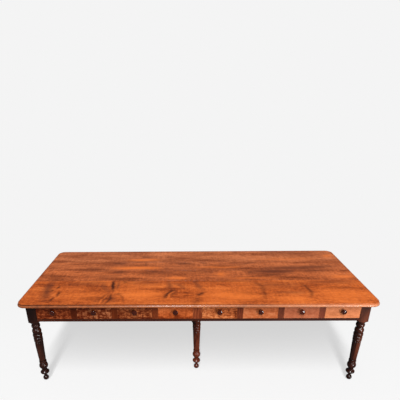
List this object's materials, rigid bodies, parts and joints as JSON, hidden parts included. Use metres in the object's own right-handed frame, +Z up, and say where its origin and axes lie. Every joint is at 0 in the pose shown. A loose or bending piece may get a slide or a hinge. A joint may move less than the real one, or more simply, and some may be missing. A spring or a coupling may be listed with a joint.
{
  "type": "dining table",
  "caption": "Long rectangular wooden dining table with a moulded plank top, a row of drawers along the front and turned, reeded legs.",
  "frame": {"origin": "on the floor, under the middle of the top", "axes": "+X along the table to the right, seen from the drawers; +Y from the drawers to the back; +Z up"},
  "size_m": [2.8, 1.18, 0.775],
  "materials": {
    "top_wood": "polished orange-brown wood",
    "leg_wood": "dark red-brown polished wood",
    "frame_wood": "dark red-brown polished wood",
    "drawer_front_wood_light": "warm orange-brown polished wood",
    "drawer_front_wood_dark": "darker figured polished wood",
    "drawer_box_wood": "pale bare pine",
    "inner_wood": "bare pine, darkened with age",
    "knob_wood": "nearly black polished wood",
    "screw_steel": "dull steel"
  },
  "bodies": {
    "frame": {"top_board_1": "top_wood", "top_board_2": "top_wood", "top_board_3": "top_wood", "top_board_4": "top_wood", "top_tongues": "inner_wood", "top_buttons": "inner_wood", "top_screws": "screw_steel", "leg_front_left": "leg_wood", "leg_front_centre": "leg_wood", "leg_front_right": "leg_wood", "leg_rear_left": "leg_wood", "leg_rear_centre": "leg_wood", "leg_rear_right": "leg_wood", "front_bottom_rail": "frame_wood", "front_top_rail": "frame_wood", "drawer_divider_1": "frame_wood", "drawer_divider_2": "frame_wood", "drawer_divider_3": "frame_wood", "drawer_divider_4": "frame_wood", "drawer_divider_5": "frame_wood", "drawer_divider_6": "frame_wood", "drawer_divider_7": "frame_wood", "rear_apron": "frame_wood", "end_apron_left": "frame_wood", "end_apron_right": "frame_wood", "centre_rail_front": "frame_wood", "centre_rail_middle": "frame_wood", "centre_rail_rear": "frame_wood", "drawer_runners": "inner_wood", "drawer_guides": "inner_wood", "drawer_kickers": "inner_wood", "drawer_stops": "inner_wood"},
    "drawer_1": {"drawer_1_front": "drawer_front_wood_dark", "drawer_1_box": "drawer_box_wood", "drawer_1_knob": "knob_wood"},
    "drawer_2": {"drawer_2_front": "drawer_front_wood_dark", "drawer_2_box": "drawer_box_wood", "drawer_2_knob": "knob_wood"},
    "drawer_3": {"drawer_3_front": "drawer_front_wood_dark", "drawer_3_box": "drawer_box_wood", "drawer_3_knob": "knob_wood"},
    "drawer_4": {"drawer_4_front": "drawer_front_wood_light", "drawer_4_box": "drawer_box_wood", "drawer_4_knob": "knob_wood"},
    "drawer_5": {"drawer_5_front": "drawer_front_wood_light", "drawer_5_box": "drawer_box_wood", "drawer_5_knob": "knob_wood"},
    "drawer_6": {"drawer_6_front": "drawer_front_wood_light", "drawer_6_box": "drawer_box_wood", "drawer_6_knob": "knob_wood"},
    "drawer_7": {"drawer_7_front": "drawer_front_wood_light", "drawer_7_box": "drawer_box_wood", "drawer_7_knob": "knob_wood"},
    "drawer_8": {"drawer_8_front": "drawer_front_wood_light", "drawer_8_box": "drawer_box_wood", "drawer_8_knob": "knob_wood"}
  },
  "joints": [
    {"name": "drawer_1_slide", "type": "slide", "parent": "frame", "child": "drawer_1", "axis": [0, -1, 0], "range_m": [0, 0.32]},
    {"name": "drawer_2_slide", "type": "slide", "parent": "frame", "child": "drawer_2", "axis": [0, -1, 0], "range_m": [0, 0.32]},
    {"name": "drawer_3_slide", "type": "slide", "parent": "frame", "child": "drawer_3", "axis": [0, -1, 0], "range_m": [0, 0.32]},
    {"name": "drawer_4_slide", "type": "slide", "parent": "frame", "child": "drawer_4", "axis": [0, -1, 0], "range_m": [0, 0.32]},
    {"name": "drawer_5_slide", "type": "slide", "parent": "frame", "child": "drawer_5", "axis": [0, -1, 0], "range_m": [0, 0.32]},
    {"name": "drawer_6_slide", "type": "slide", "parent": "frame", "child": "drawer_6", "axis": [0, -1, 0], "range_m": [0, 0.32]},
    {"name": "drawer_7_slide", "type": "slide", "parent": "frame", "child": "drawer_7", "axis": [0, -1, 0], "range_m": [0, 0.32]},
    {"name": "drawer_8_slide", "type": "slide", "parent": "frame", "child": "drawer_8", "axis": [0, -1, 0], "range_m": [0, 0.32]}
  ]
}
